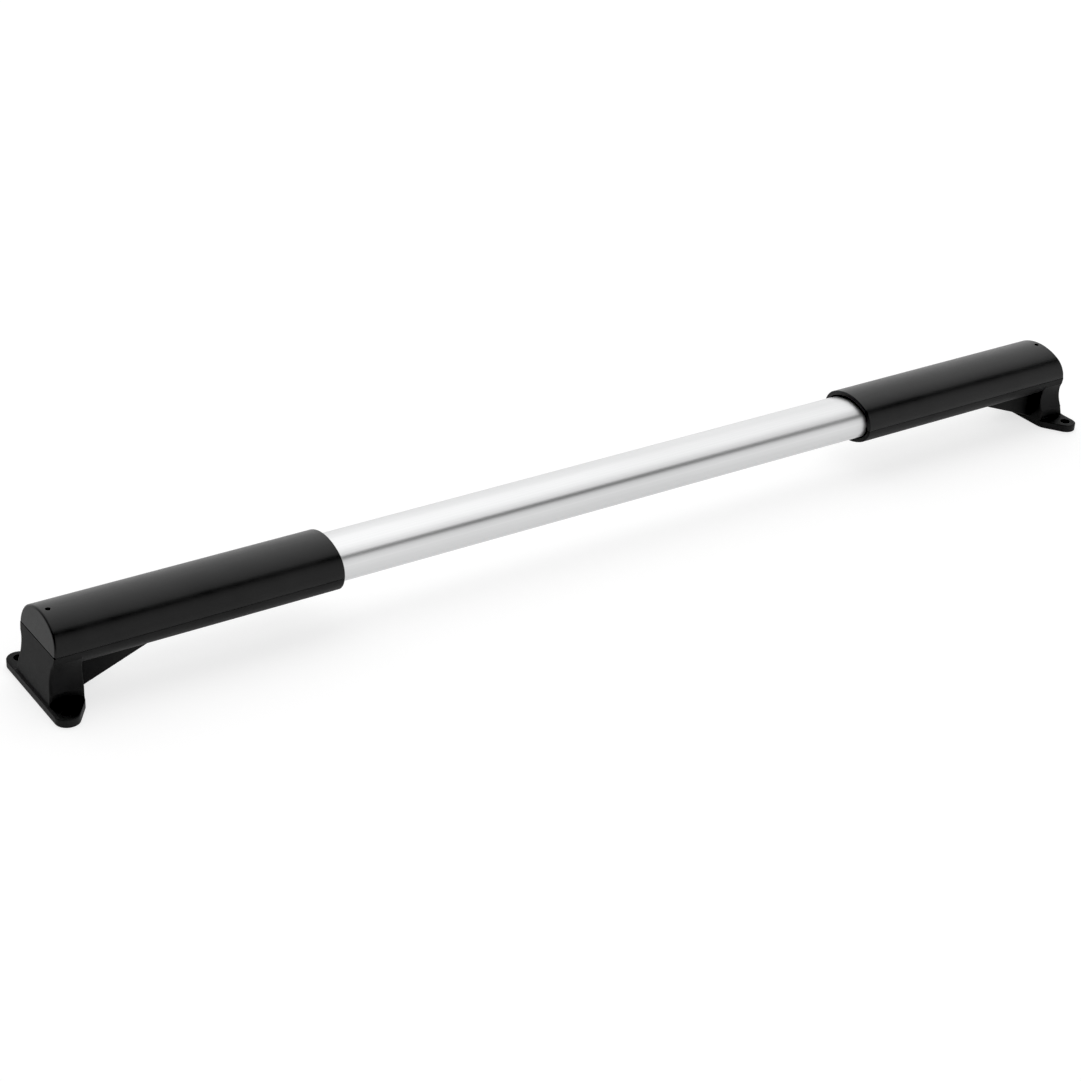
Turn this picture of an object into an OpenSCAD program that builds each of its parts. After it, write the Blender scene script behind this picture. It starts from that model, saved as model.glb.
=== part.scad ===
// Telescoping cross bar: an oval aluminium tube carried by two screw-on end brackets.
// Each bracket is a foot with a half-round lower shell, closed by an upper shell, and slides on the tube.
// Millimetres. X runs along the bar, Z up, and the two feet stand on Z = 0.

/* [Overall] */
// length over the two feet in the stored position
overall_length = 640; // [570:1:710]
// height of the tube axis above the mounting face
axis_height = 29.9; // [26:0.1:36]

/* [Tube] */
// length of the aluminium tube
tube_length = 500; // [420:1:560]
// wall of the aluminium tube
tube_wall = 1.5; // [1:0.1:2]

/* [Sleeve] */
// outside width of the oval sleeve
sleeve_width = 39; // [36:0.1:46]
// outside height of the oval sleeve
sleeve_height = 27; // [24:0.1:32]
// radius of the oval at its two sides
side_radius = 11.5; // [8:0.1:13]
// distance from the outer edge of the foot to the mouth of the sleeve
sleeve_reach = 154.1; // [120:0.1:180]
// wall of the sleeve
sleeve_wall = 2.55; // [2:0.05:3.2]
// radial gap between the sleeve mouth and the tube
mouth_gap = 0.55; // [0.3:0.05:1]
// setback of the end wall at the height of the axis
end_setback = 4.8; // [3:0.1:8]
// lean of the end wall from vertical, in degrees
end_lean = 8.2; // [0:0.1:12]
// height of the joint between the foot and the upper shell
split_height = 28.9; // [26:0.1:34]
// chamfer around the mouth of the sleeve
mouth_chamfer = 0.5; // [0.2:0.1:1]
// width of the seam groove across the end wall
seam_width = 0.4; // [0.2:0.05:0.8]

/* [Foot] */
// thickness of the mounting flange
flange_thickness = 4.2; // [3:0.1:6]
// depth of the flange along the bar
flange_depth = 18.6; // [15:0.1:24]
// half width of the flange at its inner edge, where the ears begin to taper
flange_shoulder = 19.8; // [17:0.1:22]
// distance between the two screw holes of one foot
hole_spacing = 54.2; // [50:0.1:60]
// diameter of the screw holes
hole_diameter = 5.4; // [4:0.1:6.5]
// radius of the ear tips, which are centred on the screw holes
ear_radius = 6.1; // [5:0.05:8]
// half width of the foot at its waist
waist_half_width = 17.2; // [14:0.1:19]
// height of the waist above the mounting face
waist_height = 17.4; // [13:0.1:20]
// radius of the hollow front and back faces of the foot
waist_radius = 17.5; // [15:0.5:30]
// width of the web under the sleeve
web_width = 20; // [12:0.5:26]
// distance from the outer edge of the foot to the tip of the web
web_reach = 56; // [45:0.5:70]

/* [Small parts] */
// distance of the lock pin from the outer edge of the foot
pin_distance = 10.7; // [9:0.1:14]
// diameter of the pin hole in the top of the sleeve
pin_hole = 2.4; // [2:0.1:3.5]
// depth of the pin below the top of the sleeve
pin_recess = 2; // [0.5:0.1:4]
// length of the liner inside the mouth
liner_length = 14; // [8:0.5:24]
// depth of the liner behind the mouth
liner_setback = 2.5; // [1:0.5:5]
// radial running clearance of the sliding fits
running_fit = 0.06; // [0.02:0.01:0.1]
// length of the head of the tube cap outside the tube
cap_head = 9; // [6:0.5:14]
// width of the grip ring
ring_width = 4; // [2:0.5:6]

/* [Hidden] */
$fn = 96;
far = 200;
// four-arc oval: side arcs centred at +-side_c, flat arcs centred at -+flat_c
half_w = sleeve_width / 2;
half_h = sleeve_height / 2;
side_c = half_w - side_radius;
flat_r = (side_c * side_c + half_h * half_h - side_radius * side_radius) / (2 * (half_h - side_radius));
flat_c = flat_r - half_h;
// insets of the nested ovals, measured inwards from the outside of the sleeve
tube_inset = sleeve_wall + mouth_gap;
bore_inset = tube_inset + tube_wall;
liner_outer = sleeve_wall - 1;
liner_inner = tube_inset - running_fit;
ring_outer = sleeve_wall + running_fit;
ring_inner = tube_inset + 1.2;
lip_depth = 1.2;
lip_height = 1.6;
lip_gap = 0.1;
foot_x = overall_length / 2;
tube_end = foot_x - tube_length / 2;
hole_y = hole_spacing / 2;
end_wall = 2.6;
post_radius = 3.6;
pin_radius = 1.15;
pin_top = axis_height + half_h - pin_recess;
post_top = 30;
post_x = pin_distance + 1.2;
web_start = 3.43;
web_slope = 0.386;

plastic = [0.06, 0.06, 0.065];
metal = [0.8, 0.81, 0.83];
nylon = [0.75, 0.74, 0.7];
soft = [0.12, 0.12, 0.12];
steel = [0.45, 0.46, 0.48];

// ---- oval sections, drawn in the YZ plane around the tube axis ----

// the part of the upper half that the flat arc covers, out to where the side arcs take over
module wedge() {
  y = 3 * side_c;
  z = 2 * flat_c;
  polygon([[-side_c, 0], [side_c, 0], [y, z], [-y, z]]);
}

module flat_arc(inset) {
  intersection() {
    translate([0, -flat_c]) circle(r = flat_r - inset);
    wedge();
  }
}

module oval(inset) {
  flat_arc(inset);
  mirror([0, 1]) flat_arc(inset);
  for (s = [-1, 1]) translate([s * side_c, 0]) circle(r = side_radius - inset);
}

// pushes a YZ outline centred on the axis from x0 to x1
module along(x0, x1) {
  translate([x0, 0, axis_height]) rotate([90, 0, 90]) linear_extrude(height = x1 - x0) children();
}

// pushes a YZ outline drawn from the mounting face from x0 to x1
module along_floor(x0, x1) {
  translate([x0, 0, 0]) rotate([90, 0, 90]) linear_extrude(height = x1 - x0) children();
}

module oval_bar(inset, x0, x1) {
  along(x0, x1) oval(inset);
}

module oval_ring(outer, inner, x0, x1) {
  along(x0, x1) difference() {
    oval(outer);
    oval(inner);
  }
}

// oval cone along Z from inset a at the bottom to inset b at the top, for the chamfers
module flat_cone(a, b, h) {
  intersection() {
    translate([0, -flat_c, 0]) cylinder(r1 = flat_r - a, r2 = flat_r - b, h = h);
    translate([0, 0, -1]) linear_extrude(height = h + 2)
      wedge();
  }
}

module oval_cone(a, b, h) {
  flat_cone(a, b, h);
  mirror([0, 1, 0]) flat_cone(a, b, h);
  for (s = [-1, 1]) translate([s * side_c, 0, 0]) cylinder(r1 = side_radius - a, r2 = side_radius - b, h = h);
}

// ---- planes of the leaning end wall ----

// everything inward of the outer face of the end wall, moved inward by d
module behind_end(d) {
  translate([end_setback + d / cos(end_lean), 0, axis_height]) rotate([0, end_lean, 0])
    translate([0, -50, -60]) cube([far, 100, 120]);
}

module above_split(gap) {
  translate([-10, -50, split_height + gap]) cube([far, 100, 60]);
}

module below_split() {
  translate([-10, -50, -20]) cube([far, 100, split_height + 20]);
}

// shallow groove across the end wall at the joint
module seam_groove() {
  intersection() {
    translate([-5, -30, split_height - seam_width / 2]) cube([30, 60, seam_width]);
    difference() {
      translate([-5, -30, 0]) cube([30, 60, 60]);
      behind_end(0.6);
    }
  }
}

// ---- shared solids of one bracket; x = 0 is the outer edge of its foot ----

module cavity() {
  intersection() {
    oval_bar(sleeve_wall, 0, sleeve_reach + 1);
    behind_end(end_wall);
  }
  oval_bar(liner_outer, sleeve_reach - liner_setback - liner_length, sleeve_reach - liner_setback);
}

module mouth_trim() {
  translate([sleeve_reach, 0, axis_height]) rotate([90, 0, -90])
    oval_cone(mouth_chamfer, -0.6, mouth_chamfer + 0.6);
  along(-10, sleeve_reach - mouth_chamfer - 0.6) square([80, 80], center = true);
}

// tongue that locates the upper shell on the foot
module lip(outer, inner, low, high) {
  intersection() {
    oval_ring(outer, inner, 14, sleeve_reach - liner_setback - liner_length - 1);
    translate([-10, -50, low]) cube([far, 100, high - low]);
  }
}

// ---- foot with the lower half of the sleeve ----

module flange_outline() {
  // tangent line from the ear tip to the shoulder of the inner edge
  dx = flange_depth - ear_radius;
  dy = hole_y - flange_shoulder;
  a = acos(ear_radius / sqrt(dx * dx + dy * dy)) - atan2(dy, dx);
  tx = ear_radius + ear_radius * cos(a);
  ty = hole_y + ear_radius * sin(a);
  polygon([[0, -hole_y], [ear_radius, -hole_y], [tx, -ty], [flange_depth, -flange_shoulder],
           [flange_depth, flange_shoulder], [tx, ty], [ear_radius, hole_y], [0, hole_y]]);
  for (s = [-1, 1]) translate([ear_radius, s * hole_y]) circle(r = ear_radius);
}

module flange() {
  difference() {
    linear_extrude(height = flange_thickness) flange_outline();
    for (s = [-1, 1]) translate([ear_radius, s * hole_y, -1])
      cylinder(d = hole_diameter, h = flange_thickness + 2);
  }
}

module block_outline() {
  difference() {
    translate([-half_w + 0.6, 1]) square([2 * half_w - 1.2, split_height - 1]);
    for (s = [-1, 1]) translate([s * (waist_half_width + waist_radius), waist_height])
      circle(r = waist_radius);
  }
}

module web() {
  top = axis_height - half_h + 2.2;
  translate([0, web_width / 2, 0]) rotate([90, 0, 0]) linear_extrude(height = web_width)
    polygon([[flange_depth - 3, web_start], [flange_depth, web_start],
             [web_reach + 2, web_start + web_slope * (web_reach + 2 - flange_depth)],
             [web_reach + 2, top], [flange_depth - 3, top]]);
}

// cores that open the underside of the foot and leave even walls
module cores() {
  for (s = [-1, 1]) {
    translate([4.6, s > 0 ? 1.25 : -13.25, -1]) cube([flange_depth - 7.2, 12, 13.4]);
    translate([flange_depth + 2.2, s > 0 ? 1.25 : -7.65, -1]) cube([19, 6.4, 14.2]);
  }
}

module foot() {
  difference() {
    union() {
      flange();
      intersection() {
        along_floor(-5, flange_depth) block_outline();
        behind_end(0);
      }
      web();
      intersection() {
        oval_bar(0, 0, sleeve_reach);
        behind_end(0);
        mouth_trim();
        below_split();
      }
    }
    cavity();
    cores();
    seam_groove();
  }
  // locating tongue along both sides
  lip(sleeve_wall - lip_depth, sleeve_wall, split_height - 0.5, split_height + lip_height);
  // post for the lock pin
  difference() {
    translate([post_x, 0, axis_height - half_h + 1])
      cylinder(r = post_radius, h = post_top - axis_height + half_h - 1);
    translate([pin_distance, 0, 20]) cylinder(r = pin_radius + 0.02, h = 30);
  }
}

// ---- upper shell ----

module shell() {
  difference() {
    intersection() {
      oval_bar(0, 0, sleeve_reach);
      behind_end(0);
      mouth_trim();
      above_split(0);
    }
    difference() {
      cavity();
      // solid pad above the post
      translate([post_x, 0, post_top + lip_gap]) cylinder(r = post_radius, h = 20);
    }
    lip(sleeve_wall - lip_depth - lip_gap, sleeve_wall + 2,
        split_height - 1, split_height + lip_height + lip_gap);
    translate([pin_distance, 0, 20]) cylinder(d = pin_hole, h = 40);
    seam_groove();
  }
}

// ---- small parts of one bracket ----

// slotted spring pin
module pin() {
  difference() {
    translate([pin_distance, 0, 21]) cylinder(r = pin_radius, h = pin_top - 21);
    translate([pin_distance, 0, 20]) cylinder(r = pin_radius - 0.45, h = 40);
    translate([pin_distance, -0.2, 20]) cube([5, 0.4, 40]);
  }
}

module liner() {
  x1 = sleeve_reach - liner_setback;
  oval_ring(liner_outer + 0.04, liner_inner, x1 - liner_length + 0.1, x1 - 0.1);
}

// ---- tube and what it carries ----

module tube() {
  color(metal) oval_ring(tube_inset, bore_inset, -tube_length / 2, tube_length / 2);
}

module tube_cap() {
  x1 = tube_end;
  groove = x1 - cap_head / 2;
  difference() {
    union() {
      oval_bar(tube_inset, x1 - cap_head, groove - ring_width / 2);
      oval_bar(ring_inner, x1 - cap_head, x1);
      oval_bar(tube_inset, groove + ring_width / 2, x1 - 0.02);
      oval_bar(bore_inset + 0.05, x1 - 0.1, x1 + 14);
    }
    oval_bar(bore_inset + 2, x1 - cap_head + 2.5, x1 + 20);
  }
}

module grip_ring() {
  groove = tube_end - cap_head / 2;
  oval_ring(ring_outer, ring_inner - 0.05, groove - ring_width / 2 + 0.05, groove + ring_width / 2 - 0.05);
}

// ---- placing ----

module at_left() {
  translate([-foot_x, 0, 0]) children();
}

module at_right() {
  mirror([1, 0, 0]) translate([-foot_x, 0, 0]) children();
}

module foot_left() { color(plastic) at_left() foot(); }
module foot_right() { color(plastic) at_right() foot(); }
module shell_left() { color(plastic * 1.4) at_left() shell(); }
module shell_right() { color(plastic * 1.4) at_right() shell(); }
module pin_left() { color(steel) at_left() pin(); }
module pin_right() { color(steel) at_right() pin(); }
module liner_left() { color(nylon) at_left() liner(); }
module liner_right() { color(nylon) at_right() liner(); }
module tube_cap_left() { color(nylon) at_left() tube_cap(); }
module tube_cap_right() { color(nylon) at_right() tube_cap(); }
module grip_ring_left() { color(soft) at_left() grip_ring(); }
module grip_ring_right() { color(soft) at_right() grip_ring(); }

tube();
foot_left();
foot_right();
shell_left();
shell_right();
pin_left();
pin_right();
liner_left();
liner_right();
tube_cap_left();
tube_cap_right();
grip_ring_left();
grip_ring_right();
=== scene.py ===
"""Telescoping cross bar: visual model on the fixed CAD frame.

The shape functions work in millimetres in the CAD's axes, with x measured from the outer edge of a foot.
The studio works in metres.
"""
import math

import bpy
import numpy as np
from mathutils import Euler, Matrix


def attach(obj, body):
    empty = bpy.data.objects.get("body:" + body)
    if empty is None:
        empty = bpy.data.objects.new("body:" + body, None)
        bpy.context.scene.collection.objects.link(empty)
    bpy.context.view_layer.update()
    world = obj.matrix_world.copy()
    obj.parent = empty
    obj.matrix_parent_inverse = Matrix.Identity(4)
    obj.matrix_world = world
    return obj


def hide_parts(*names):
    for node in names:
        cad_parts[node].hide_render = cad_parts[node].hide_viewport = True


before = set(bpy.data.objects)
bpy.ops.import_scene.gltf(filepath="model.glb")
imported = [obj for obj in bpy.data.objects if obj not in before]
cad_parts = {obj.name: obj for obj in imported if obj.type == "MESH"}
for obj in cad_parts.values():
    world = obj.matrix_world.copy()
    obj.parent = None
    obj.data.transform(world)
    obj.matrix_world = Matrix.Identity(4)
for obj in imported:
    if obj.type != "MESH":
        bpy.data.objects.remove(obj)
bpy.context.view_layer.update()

# ---------------------------------------------------------------- dimensions, as in the CAD
HALF_LENGTH = 320.0
AXIS_Z = 29.9
HALF_W, HALF_H, SIDE_R = 19.5, 13.5, 11.5
REACH = 154.1
WALL = 2.55
TUBE_INSET = 3.1
TUBE_WALL = 1.5
TUBE_HALF = 250.0
END_X, END_LEAN, END_WALL = 4.8, math.radians(8.2), 2.6
SPLIT_Z = 28.9
SEAM_HALF, SEAM_DEPTH = 0.21, 0.5
FLANGE_T, FLANGE_D, SHOULDER = 4.2, 18.6, 19.8
HOLE_Y, HOLE_R, EAR_R = 27.1, 2.7, 6.1
WAIST_Y, WAIST_Z, WAIST_R = 17.2, 17.4, 17.5
BLOCK_TOP, BLOCK_INSET = 27.5, 0.6
WEB_Y, WEB_START, WEB_SLOPE, WEB_REACH = 10.0, 3.43, 0.386, 56.0
WEB_TOP, WEB_BACK = 18.3, FLANGE_D - 3
PIN_X, PIN_HOLE_R, PIN_SOCKET_R = 10.7, 1.2, 1.17
POST_X, POST_R, POST_FOOT, POST_TOP = PIN_X + 1.2, 3.6, 17.2, 30.0
POST_GAP = 0.1
# the hollows under the foot: x from, x to, half the rib between the two, y to, z to
CORE_BASE = -3
CORES = ((4.6, 16.0, 1.25, 13.25, 12.4), (20.8, 39.8, 1.25, 7.65, 13.2))

# four-arc oval: centres and radii of its arcs, and the direction in which they meet
SIDE_C = HALF_W - SIDE_R
FLAT_R = (SIDE_C**2 + HALF_H**2 - SIDE_R**2) / (2 * (HALF_H - SIDE_R))
FLAT_C = FLAT_R - HALF_H
RAY = math.hypot(SIDE_C, FLAT_C)
RAY_Y, RAY_Z = SIDE_C / RAY, FLAT_C / RAY

# extra looks that the CAD leaves out: radii of the moulded edges
EDGE, FILLET, MOUTH_EDGE, END_EDGE, PARTING_EDGE = 0.6, 0.5, 0.5, 1.0, 0.22


# ---------------------------------------------------------------- distance functions
def both(a, b, r):
    """Intersection with a convex edge of radius r."""
    return np.minimum(np.maximum(a, b), -r) + np.hypot(np.maximum(a + r, 0), np.maximum(b + r, 0))


def either(a, b, r):
    """Union with a hollow fillet of radius r."""
    return np.maximum(np.minimum(a, b), r) - np.hypot(np.maximum(r - a, 0), np.maximum(r - b, 0))


def oval(y, z):
    """Distance to the four-arc oval of the sleeve, around the tube axis."""
    y, z = np.abs(y), np.abs(z - AXIS_Z)
    flat = y * RAY_Z - (z + FLAT_C) * RAY_Y < 0
    return np.where(flat, np.hypot(y, z + FLAT_C) - FLAT_R, np.hypot(y - SIDE_C, z) - SIDE_R)


def end_plane(x, z):
    """Distance outside the leaning end wall."""
    return (END_X + math.tan(END_LEAN) * (z - AXIS_Z) - x) * math.cos(END_LEAN)


def box(p, low, high, r):
    """Distance to a box with edges of radius r."""
    c, h = (np.array(low) + np.array(high)) / 2, (np.array(high) - np.array(low)) / 2 - r
    q = np.abs(p - c) - h
    return np.linalg.norm(np.maximum(q, 0), axis=1) + np.minimum(q.max(1), 0) - r


def flange_outline(x, y):
    """Distance to the outline of the flange, with its tapered ears, seen from above."""
    y = np.abs(y)
    dx, dy = FLANGE_D - EAR_R, HOLE_Y - SHOULDER
    a = math.acos(EAR_R / math.hypot(dx, dy)) - math.atan2(dy, dx)
    nx, ny = math.cos(a), math.sin(a)
    slant = nx * (x - FLANGE_D) + ny * (y - SHOULDER)
    edges = np.maximum(-x, both(x - FLANGE_D, slant, 1.5))
    qx, qy = x - EAR_R, y - HOLE_Y
    tip = (qy > 0) & (nx * qy - ny * qx > 0)
    return np.where(tip, np.hypot(qx, qy) - EAR_R, edges)


def cavity(p):
    """Distance to the hollow of the sleeve."""
    x, y, z = p.T
    return both(oval(y, z) + WALL, end_plane(x, z) + END_WALL, 0.5)


def post(p):
    """Distance to the upright post inside the foot that holds the pin."""
    x, y, _ = p.T
    return np.hypot(x - POST_X, y) - POST_R


def seam_groove(p):
    """Negative inside the shallow groove that crosses the end wall."""
    x, y, z = p.T
    return np.maximum(np.abs(z - SPLIT_Z) - SEAM_HALF, -(end_plane(x, z) + SEAM_DEPTH))


def foot_distance(p):
    """Foot: flange, waisted block, lower half of the sleeve, web, hollows, screw holes and post."""
    x, y, z = p.T
    ay = np.abs(y)
    waist = WAIST_R - np.hypot(ay - (WAIST_Y + WAIST_R), z - WAIST_Z)
    waist = np.maximum(waist, ay - (HALF_W - BLOCK_INSET))
    block = both(either(z - FLANGE_T, waist, FILLET), flange_outline(x, y), EDGE)
    block = np.maximum(block, z - BLOCK_TOP)
    sleeve = both(oval(y, z), x - REACH, EDGE)
    body = either(sleeve, block, 0.3)
    under = (WEB_START + WEB_SLOPE * (x - FLANGE_D) - z) * math.cos(math.atan(WEB_SLOPE))
    web = both(both(ay - WEB_Y, under, FILLET), np.maximum(z - WEB_TOP, WEB_BACK - x), 0.2)
    web = np.maximum(web, x - WEB_REACH - 2)
    body = either(body, web, FILLET)
    ledge = either(end_plane(x, z), z - FLANGE_T, EDGE)
    # the upright edges of the end wall are rounder between the flange and the sleeve
    bow = np.clip((z - 5.0) / 4.0, 0, 1) * np.clip((BLOCK_TOP - z) / 5.0, 0, 1)
    body = both(body, ledge, EDGE + bow)
    body = both(body, -z, 0.25)
    for s in (-1, 1):
        for x0, x1, rib, y1, top in CORES:
            near, far = sorted((s * rib, s * y1))
            body = both(body, -box(p, (x0, near, CORE_BASE), (x1, far, top), 0.8), 0.2)
    body = both(body, HOLE_R - np.hypot(x - EAR_R, ay - HOLE_Y), 0.35)
    body = both(body, z - SPLIT_Z, PARTING_EDGE)
    body = both(body, -cavity(p), 0.25)
    body = np.maximum(body, -seam_groove(p))
    holder = np.maximum(np.maximum(post(p), z - POST_TOP), POST_FOOT - z)
    holder = np.maximum(holder, PIN_SOCKET_R - np.hypot(x - PIN_X, y))
    return np.minimum(body, holder)


def shell_distance(p):
    """Upper half of the sleeve and its end wall, solid above the post and open for the pin."""
    x, y, z = p.T
    body = both(both(oval(y, z), end_plane(x, z), END_EDGE), x - REACH, MOUTH_EDGE)
    hollow = np.maximum(cavity(p), -np.maximum(post(p), POST_TOP + POST_GAP - z))
    body = both(body, -hollow, 0.25)
    body = both(body, SPLIT_Z - z, PARTING_EDGE)
    body = both(body, PIN_HOLE_R - np.hypot(x - PIN_X, y), PARTING_EDGE)
    return np.maximum(body, -seam_groove(p))


# ---------------------------------------------------------------- dual contouring on a rectilinear grid
GRID_NUDGE = 0.0137


def gradient(f, p, h=0.004):
    """Unit gradient of f, from four samples round each point."""
    k = np.array([[1, -1, -1], [-1, -1, 1], [-1, 1, -1], [1, 1, 1]], float)
    g = sum(e * f(p + e * h)[:, None] for e in k)
    return g / np.maximum(np.linalg.norm(g, axis=1, keepdims=True), 1e-12)


def contour(f, xs, ys, zs):
    """Vertices and outward quads of f = 0, with sharp edges kept sharp."""
    shape = (len(xs), len(ys), len(zs))
    grid = np.stack(np.meshgrid(xs, ys, zs, indexing="ij"), -1).reshape(-1, 3)
    values = np.concatenate([f(c) for c in np.array_split(grid, 12)]).reshape(shape)
    axes = (xs, ys, zs)
    cells = np.array(shape) - 1
    points, normals, owners, quads = [], [], [], []
    around = {0: ((0, -1, -1), (0, 0, -1), (0, 0, 0), (0, -1, 0)),
              1: ((-1, 0, -1), (-1, 0, 0), (0, 0, 0), (0, 0, -1)),
              2: ((-1, -1, 0), (0, -1, 0), (0, 0, 0), (-1, 0, 0))}
    for axis in range(3):
        lo = [slice(None)] * 3
        hi = [slice(None)] * 3
        lo[axis], hi[axis] = slice(0, -1), slice(1, None)
        a, b = values[tuple(lo)], values[tuple(hi)]
        idx = np.argwhere((a < 0) != (b < 0))
        va = a[tuple(idx.T)]
        start = np.stack([axes[k][idx[:, k]] for k in range(3)], 1)
        stop = start.copy()
        stop[:, axis] = axes[axis][idx[:, axis] + 1]
        t0, t1 = np.zeros(len(idx)), np.ones(len(idx))
        for _ in range(14):
            t = (t0 + t1) / 2
            v = f(start + (stop - start) * t[:, None])
            same = (v < 0) == (va < 0)
            t0, t1 = np.where(same, t, t0), np.where(same, t1, t)
        cross = start + (stop - start) * ((t0 + t1) / 2)[:, None]
        ring = np.stack([idx + np.array(o) for o in around[axis]], 1)
        flat = (ring[..., 0] * cells[1] + ring[..., 1]) * cells[2] + ring[..., 2]
        quads.append(np.where((va < 0)[:, None], flat, flat[:, ::-1]))
        n = gradient(f, cross)
        for k in range(4):
            points.append(cross)
            normals.append(n)
            owners.append(flat[:, k])
    points, normals, owners, quads = map(np.concatenate, (points, normals, owners, quads))
    used, inverse = np.unique(owners, return_inverse=True)
    count = np.bincount(inverse).astype(float)
    centre = np.stack([np.bincount(inverse, points[:, k]) for k in range(3)], 1) / count[:, None]
    offset = ((points - centre[inverse]) * normals).sum(1)
    ata = np.zeros((len(used), 3, 3))
    atb = np.zeros((len(used), 3))
    for i in range(3):
        atb[:, i] = np.bincount(inverse, normals[:, i] * offset)
        for j in range(3):
            ata[:, i, j] = np.bincount(inverse, normals[:, i] * normals[:, j])
    ata += np.eye(3) * 0.02 * count[:, None, None]
    moved = centre + np.linalg.solve(ata, atb[..., None])[..., 0]
    ci, cj, ck = used // (cells[1] * cells[2]), (used // cells[2]) % cells[1], used % cells[2]
    low = np.stack([xs[ci], ys[cj], zs[ck]], 1)
    high = np.stack([xs[ci + 1], ys[cj + 1], zs[ck + 1]], 1)
    moved = np.clip(moved, low, high)
    lookup = np.zeros(cells.prod(), np.int64)
    lookup[used] = np.arange(len(used))
    return moved, lookup[quads]


def corner_normals(f, v, quads):
    """Normals of f just inside each corner, so that a sharp edge keeps one normal on each side."""
    centre = v[quads].mean(1, keepdims=True)
    at = v[quads] + (centre - v[quads]) * 0.22
    return gradient(f, at.reshape(-1, 3)).reshape(len(quads), 4, 3)


def make_mesh(name, v, quads, normals):
    """Object from quads in millimetres, with one custom normal for each corner."""
    mesh = bpy.data.meshes.new(name)
    mesh.vertices.add(len(v))
    mesh.vertices.foreach_set("co", (v / 1000.0).astype(np.float32).ravel())
    mesh.loops.add(quads.size)
    mesh.loops.foreach_set("vertex_index", quads.astype(np.int32).ravel())
    mesh.polygons.add(len(quads))
    mesh.polygons.foreach_set("loop_start", np.arange(0, quads.size, 4, dtype=np.int32))
    mesh.update(calc_edges=True)
    mesh.polygons.foreach_set("use_smooth", np.ones(len(quads), bool))
    mesh.normals_split_custom_set(normals.reshape(-1, 3).tolist())
    obj = bpy.data.objects.new(name, mesh)
    bpy.context.scene.collection.objects.link(obj)
    return obj


def steps(*parts):
    """Grid lines from (start, stop, spacing) stretches, nudged so that no CAD face lies on one."""
    out = [np.linspace(a, b, max(2, int(round((b - a) / s)) + 1))[:-1] for a, b, s in parts]
    return np.concatenate([*out, [parts[-1][1]]]) + GRID_NUDGE


def bracket_pair(name, f, xs, ys, zs, body, replaced):
    """Contours one bracket piece in its own frame, and places it at both ends."""
    v, quads = contour(f, xs, ys, zs)
    n = corner_normals(f, v, quads)
    made = []
    for side, sign in (("left", 1.0), ("right", -1.0)):
        flip = np.array([sign, 1.0, 1.0])
        placed = (v - np.array([HALF_LENGTH, 0, 0])) * flip
        q, m = (quads, n) if sign > 0 else (quads[:, ::-1], n[:, ::-1])
        obj = make_mesh(f"{name}_{side}_skin", placed, q, m * flip)
        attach(obj, f"{body}_{side}")
        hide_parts(f"{replaced}_{side}")
        made.append(obj)
    return made


def oval_points(inset, count):
    """Points round the sleeve's oval, pushed inwards, evenly spaced along it."""
    t = np.linspace(0, 2 * math.pi, 7201)[:-1]
    outside = 2 * HALF_W
    y, z = outside * np.cos(t), outside * np.sin(t)
    lo, hi = np.zeros(len(t)), np.ones(len(t))
    for _ in range(40):
        mid = (lo + hi) / 2
        inside = oval(y * mid, z * mid + AXIS_Z) + inset < 0
        lo, hi = np.where(inside, mid, lo), np.where(inside, hi, mid)
    y, z = y * lo, z * lo
    length = np.concatenate([[0], np.cumsum(np.hypot(np.diff(y, append=y[0]), np.diff(z, append=z[0])))])
    at = np.linspace(0, length[-1], count + 1)[:-1]
    return np.interp(at, length, np.append(y, y[0])), np.interp(at, length, np.append(z, z[0]))


def tube_mesh():
    """Open oval tube with rounded rims, as one closed skin swept along the bar."""
    rim, count = 0.35, 288
    profile = [(-TUBE_HALF + rim, 0.0)]
    profile += [(x, 0.0) for x in np.linspace(-TUBE_HALF + 4, TUBE_HALF - 4, 41)]
    profile += [(TUBE_HALF - rim, 0.0), (TUBE_HALF - 0.1, 0.1), (TUBE_HALF, rim), (TUBE_HALF, TUBE_WALL)]
    profile += [(-TUBE_HALF, TUBE_WALL), (-TUBE_HALF, rim), (-TUBE_HALF + 0.1, 0.1)]
    rings = []
    for x, inset in profile:
        y, z = oval_points(TUBE_INSET + inset, count)
        rings.append(np.stack([np.full(count, x), y, z + AXIS_Z], 1))
    v = np.concatenate(rings)
    n = len(profile)
    i = np.repeat(np.arange(n), count)
    j = np.tile(np.arange(count), n)
    a, b = i * count + j, i * count + (j + 1) % count
    c, d = ((i + 1) % n) * count + (j + 1) % count, ((i + 1) % n) * count + j
    quads = np.stack([a, d, c, b], 1)
    mesh = bpy.data.meshes.new("tube_skin")
    mesh.from_pydata((v / 1000.0).tolist(), [], quads.tolist())
    mesh.polygons.foreach_set("use_smooth", np.ones(len(quads), bool))
    mesh.set_sharp_from_angle(angle=math.radians(40))
    obj = bpy.data.objects.new("tube_skin", mesh)
    bpy.context.scene.collection.objects.link(obj)
    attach(obj, "bar")
    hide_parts("tube")
    return obj


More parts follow.
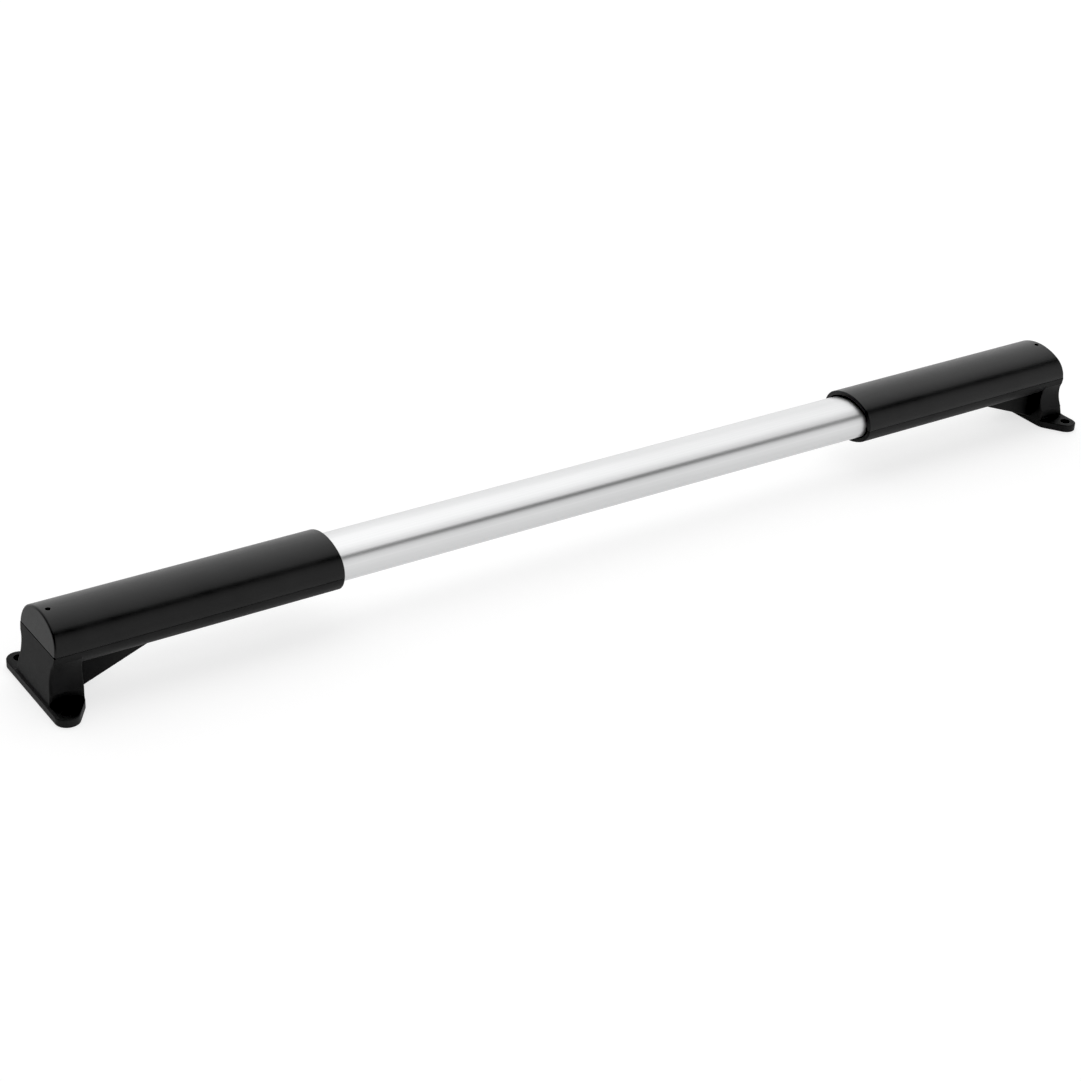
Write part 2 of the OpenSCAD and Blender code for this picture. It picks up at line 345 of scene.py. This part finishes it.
# ---------------------------------------------------------------- materials
class Graph:
    """Small helper for building node materials."""

    def __init__(self, name):
        self.material = bpy.data.materials.new(name)
        self.material.use_nodes = True
        self.tree = self.material.node_tree
        self.tree.nodes.clear()
        self.out = self.tree.nodes.new("ShaderNodeOutputMaterial")
        self.shader = self.tree.nodes.new("ShaderNodeBsdfPrincipled")
        self.link(self.shader.outputs["BSDF"], self.out.inputs["Surface"])
        self.coordinates = self.tree.nodes.new("ShaderNodeTexCoord")

    def node(self, kind, **values):
        n = self.tree.nodes.new(kind)
        for k, v in values.items():
            setattr(n, k, v)
        return n

    def link(self, a, b):
        self.tree.links.new(a, b)

    def place(self, scale=(1, 1, 1)):
        m = self.node("ShaderNodeMapping")
        m.inputs["Scale"].default_value = scale
        self.link(self.coordinates.outputs["Object"], m.inputs["Vector"])
        return m.outputs["Vector"]

    def noise(self, vector, scale, detail=3.0, rough=0.55):
        n = self.node("ShaderNodeTexNoise")
        n.inputs["Scale"].default_value = scale
        n.inputs["Detail"].default_value = detail
        n.inputs["Roughness"].default_value = rough
        self.link(vector, n.inputs["Vector"])
        return n.outputs["Fac"]

    def remap(self, value, a, b, c, d, clamp=True):
        n = self.node("ShaderNodeMapRange", clamp=clamp)
        for k, v in zip(("From Min", "From Max", "To Min", "To Max"), (a, b, c, d)):
            n.inputs[k].default_value = v
        self.link(value, n.inputs["Value"])
        return n.outputs["Result"]

    def math(self, kind, a, b):
        n = self.node("ShaderNodeMath", operation=kind)
        for socket, v in zip(n.inputs, (a, b)):
            if isinstance(v, (int, float)):
                socket.default_value = v
            else:
                self.link(v, socket)
        return n.outputs["Value"]

    def mix(self, a, share_a, b, share_b):
        """Weighted sum of two values."""
        return self.math("ADD", self.math("MULTIPLY", a, share_a), self.math("MULTIPLY", b, share_b))

    def facing_end(self):
        """1 on faces that look out along the bar from its ends, 0 on all others."""
        normal, place = (self.node("ShaderNodeSeparateXYZ") for _ in range(2))
        self.link(self.coordinates.outputs["Normal"], normal.inputs[0])
        self.link(self.coordinates.outputs["Object"], place.inputs[0])
        side = self.math("SIGN", place.outputs["X"], 0)
        return self.remap(self.math("MULTIPLY", normal.outputs["X"], side), 0.9, 0.97, 0, 1)

    def blend(self, fac, a, b):
        n = self.node("ShaderNodeMix", data_type="RGBA")
        self.link(fac, n.inputs["Factor"])
        n.inputs[6].default_value = (*a, 1)
        n.inputs[7].default_value = (*b, 1)
        return n.outputs[2]

    def bump(self, height, strength, distance, under=None):
        n = self.node("ShaderNodeBump")
        n.inputs["Strength"].default_value = strength
        n.inputs["Distance"].default_value = distance
        self.link(height, n.inputs["Height"])
        if under is not None:
            self.link(under, n.inputs["Normal"])
        return n.outputs["Normal"]

    def set(self, **values):
        for k, v in values.items():
            socket = self.shader.inputs[k.replace("_", " ")]
            if isinstance(v, (int, float, tuple)):
                socket.default_value = v
            else:
                self.link(v, socket)


def moulded_plastic(name, base, worn, rough_low, rough_high, grain=1.0, gloss=0.34, end_gloss=0.17):
    """Injection-moulded plastic: fine spark-eroded grain, faint flow mottling, a few rubbed patches."""
    g = Graph(name)
    v = g.place()
    mottle = g.noise(v, 55, 4)
    patches = g.noise(v, 14, 3)
    grain_fine = g.noise(v, 2600, 2, 0.6)
    grain_soft = g.noise(v, 900, 2, 0.5)
    long_rub = g.noise(g.place((12, 160, 160)), 9, 3, 0.6)
    g.set(Base_Color=g.blend(g.remap(g.mix(mottle, 0.6, patches, 0.4), 0.35, 0.65, 0, 1), base, worn))
    scuffs = g.noise(g.place((1, 1.6, 1.3)), 210, 5, 0.62)
    rough = g.math("ADD", g.mix(mottle, 0.25, scuffs, 0.25), g.mix(grain_soft, 0.25, long_rub, 0.25))
    g.set(Roughness=g.remap(rough, 0.3, 0.7, rough_low, rough_high))
    waves = g.bump(g.noise(v, 60, 2), 0.12, 0.0004)
    g.set(Normal=g.bump(g.mix(grain_fine, 0.6, grain_soft, 0.4), 0.16 * grain, 0.00006, waves))
    # matched to the photograph: the outer end faces look duller than the long ones
    g.set(Specular_IOR_Level=g.remap(g.facing_end(), 0, 1, gloss, min(gloss, end_gloss)), IOR=1.5)
    return g.material


def anodised_aluminium(name):
    """Satin extruded tube: die lines along its length over a fine matte etch."""
    g = Graph(name)
    lines = g.noise(g.place((0.6, 1500, 1500)), 1.0, 4, 0.6)
    broad = g.noise(g.place((0.35, 260, 260)), 1.0, 3, 0.55)
    etch = g.noise(g.place(), 3200, 2, 0.5)
    cloud = g.noise(g.place((6, 30, 30)), 1.0, 3, 0.5)
    tone = g.remap(g.mix(lines, 0.5, cloud, 0.5), 0.35, 0.65, 0, 1)
    g.set(Base_Color=g.blend(tone, (0.61, 0.613, 0.616), (0.68, 0.682, 0.685)), Metallic=1.0)
    rough = g.math("ADD", g.math("MULTIPLY", lines, 0.4), g.mix(broad, 0.35, etch, 0.25))
    g.set(Roughness=g.remap(rough, 0.3, 0.7, 0.3, 0.42))
    under = g.bump(broad, 0.05, 0.0002)
    g.set(Normal=g.bump(g.mix(lines, 0.6, etch, 0.4), 0.1, 0.00004, under))
    g.set(Anisotropic=0.35)
    return g.material


def plain_metal(name, colour):
    """Bare steel: drawn streaks and small darker spots."""
    g = Graph(name)
    v = g.place()
    streak = g.noise(g.place((900, 900, 60)), 1.0, 3, 0.6)
    spots = g.noise(v, 1200, 3, 0.6)
    tone = g.remap(g.mix(streak, 0.5, spots, 0.5), 0.35, 0.65, 0, 1)
    g.set(Base_Color=g.blend(tone, colour, tuple(c * 0.6 for c in colour)), Metallic=1.0)
    g.set(Roughness=g.remap(spots, 0.3, 0.7, 0.3, 0.5))
    g.set(Normal=g.bump(streak, 0.15, 0.00005))
    return g.material


def rubber(name):
    """Matt rubber with dust in its grain."""
    g = Graph(name)
    v = g.place()
    dust = g.noise(v, 180, 4)
    grain = g.noise(v, 2400, 2)
    g.set(Base_Color=g.blend(g.remap(dust, 0.4, 0.7, 0, 1), (0.02, 0.02, 0.02), (0.05, 0.05, 0.05)))
    g.set(Roughness=g.remap(dust, 0.3, 0.7, 0.65, 0.85))
    g.set(Normal=g.bump(grain, 0.25, 0.00008))
    return g.material


def dress(obj, material):
    """Makes this the object's only material."""
    obj.data.materials.clear()
    obj.data.materials.append(material)


# ---------------------------------------------------------------- build
cover_plastic = moulded_plastic("cover_plastic", (0.007, 0.007, 0.0071), (0.012, 0.012, 0.0121), 0.29, 0.42,
                                gloss=0.3)
foot_plastic = moulded_plastic("foot_plastic", (0.018, 0.018, 0.0181), (0.026, 0.026, 0.0261), 0.46, 0.6,
                               grain=1.2, gloss=0.09)
liner_plastic = moulded_plastic("liner_plastic", (0.02, 0.02, 0.021), (0.03, 0.03, 0.03), 0.3, 0.42, 0.5)
nylon = moulded_plastic("cap_plastic", (0.55, 0.54, 0.5), (0.66, 0.65, 0.6), 0.4, 0.55, 0.7)
metal = anodised_aluminium("tube_metal")
steel = plain_metal("pin_steel", (0.42, 0.42, 0.43))
black_rubber = rubber("grip_rubber")

fine = 0.42
long_x = ((-0.7, 20.5, fine), (20.5, 60, fine * 2), (60, 150, 6), (150, 155.0, fine * 0.6))
feet = bracket_pair("foot", foot_distance, steps(*long_x), steps((-33.6, 33.6, fine)),
                    steps((-0.8, 28.3, fine), (28.3, 31.0, fine * 0.5)), "bracket", "foot")
shells = bracket_pair("shell", shell_distance, steps(*long_x), steps((-20.2, 20.2, fine * 0.9)),
                      steps((28.2, 29.8, fine * 0.5), (29.8, 44.4, fine * 0.9)), "bracket", "shell")
for piece in feet:
    dress(piece, foot_plastic)
for piece in shells:
    dress(piece, cover_plastic)
dress(tube_mesh(), metal)

hidden = {"pin": steel, "liner": liner_plastic, "tube_cap": nylon, "grip_ring": black_rubber}
for node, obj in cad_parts.items():
    for key, material in hidden.items():
        if node.startswith(key):
            dress(obj, material)

# ---------------------------------------------------------------- studio
scene = bpy.context.scene


def overhead_light(name, place, turn, size, radiance):
    """A soft panel of even radiance that faces straight down."""
    data = bpy.data.lights.new(name, "AREA")
    data.shape = "RECTANGLE"
    data.size, data.size_y = size
    data.energy = radiance * math.pi * size[0] * size[1]
    obj = bpy.data.objects.new(name, data)
    obj.location = place
    obj.rotation_euler = (0, 0, math.radians(turn))
    obj.visible_camera = False
    scene.collection.objects.link(obj)


floor_mesh = bpy.data.meshes.new("floor")
floor_mesh.from_pydata([(-12, -12, 0), (12, -12, 0), (12, 12, 0), (-12, 12, 0)], [], [(0, 1, 2, 3)])
floor = bpy.data.objects.new("floor", floor_mesh)
floor.location = (0, 0, -0.0001)
scene.collection.objects.link(floor)
g = Graph("floor")
g.set(Base_Color=(0.4, 0.4, 0.4, 1), Roughness=0.9, Specular_IOR_Level=0.1)
g.set(Emission_Color=(1, 1, 1, 1), Emission_Strength=0.7)
dress(floor, g.material)

world = bpy.data.worlds.new("studio")
scene.world = world
world.use_nodes = True
tree = world.node_tree
background = tree.nodes["Background"]


def world_node(kind, feeds, **values):
    """Adds a node to the world, with its first input fed by the given output."""
    n = tree.nodes.new(kind)
    for k, v in values.items():
        setattr(n, k, v)
    if feeds is not None:
        tree.links.new(feeds, n.inputs[0])
    return n


def world_range(value, values, **settings):
    """Map Range node in the world: from min, from max, to min, to max."""
    n = world_node("ShaderNodeMapRange", value, **settings)
    for key, level in zip(("From Min", "From Max", "To Min", "To Max"), values):
        n.inputs[key].default_value = level
    return n.outputs["Result"]


# bands of light that run along the bar, with a dark one just on the near side of overhead
direction = world_node("ShaderNodeTexCoord", None).outputs["Generated"]
flat = world_node("ShaderNodeVectorMath", direction, operation="MULTIPLY")
flat.inputs[1].default_value = (0, 1, 1)
unit = world_node("ShaderNodeVectorMath", flat.outputs["Vector"], operation="NORMALIZE")
across = world_node("ShaderNodeSeparateXYZ", unit.outputs["Vector"]).outputs["Y"]
ramp = world_node("ShaderNodeValToRGB", world_range(across, (1.0, -1.0, 0.0, 1.0)))
ramp.color_ramp.interpolation = "EASE"
stops = ((0.0, 1.16), (0.3, 1.1), (0.44, 0.95), (0.53, 0.55),
         (0.6, 0.1), (0.725, 0.07), (0.79, 0.92), (1.0, 1.12))
while len(ramp.color_ramp.elements) < len(stops):
    ramp.color_ramp.elements.new(0.5)
for element, (at, level) in zip(ramp.color_ramp.elements, stops):
    element.position = at
    element.color = (level, level, level, 1)
tree.links.new(ramp.outputs["Color"], background.inputs["Color"])

# less light from the left, which keeps the edge of the left end disc dark
sideways = world_node("ShaderNodeSeparateXYZ", direction).outputs["X"]
shade = world_range(sideways, (-0.6, -0.12, 0.25, 1.0), interpolation_type="SMOOTHSTEP")
tree.links.new(shade, background.inputs["Strength"])

# the backdrop itself is plain white; the bands above only light the part
backdrop = world_node("ShaderNodeBackground", None)
backdrop.inputs["Color"].default_value = (1, 1, 1, 1)
seen = world_node("ShaderNodeMixShader", world_node("ShaderNodeLightPath", None).outputs["Is Camera Ray"])
tree.links.new(background.outputs[0], seen.inputs[1])
tree.links.new(backdrop.outputs[0], seen.inputs[2])
tree.links.new(seen.outputs[0], tree.nodes["World Output"].inputs["Surface"])

overhead_light("key", (0.22, 1.22, 1.6), 15, (3.2, 2.9), 0.44)

camera_data = bpy.data.cameras.new("camera")
camera_data.sensor_width = 36.0
camera_data.lens = 78.29
camera_data.clip_start, camera_data.clip_end = 0.05, 50
camera = bpy.data.objects.new("camera", camera_data)
camera.location = (-0.6558, -0.869, 0.5948)
camera.rotation_euler = Euler([math.radians(a) for a in (61.043, -2.737, -33.871)], "XYZ")
scene.collection.objects.link(camera)
scene.camera = camera
scene.view_settings.view_transform = "Standard"
scene.view_settings.look = "None"
scene.view_settings.use_curve_mapping = True
scene.view_settings.curve_mapping.black_level = (0.014, 0.014, 0.014)
scene.view_settings.curve_mapping.update()
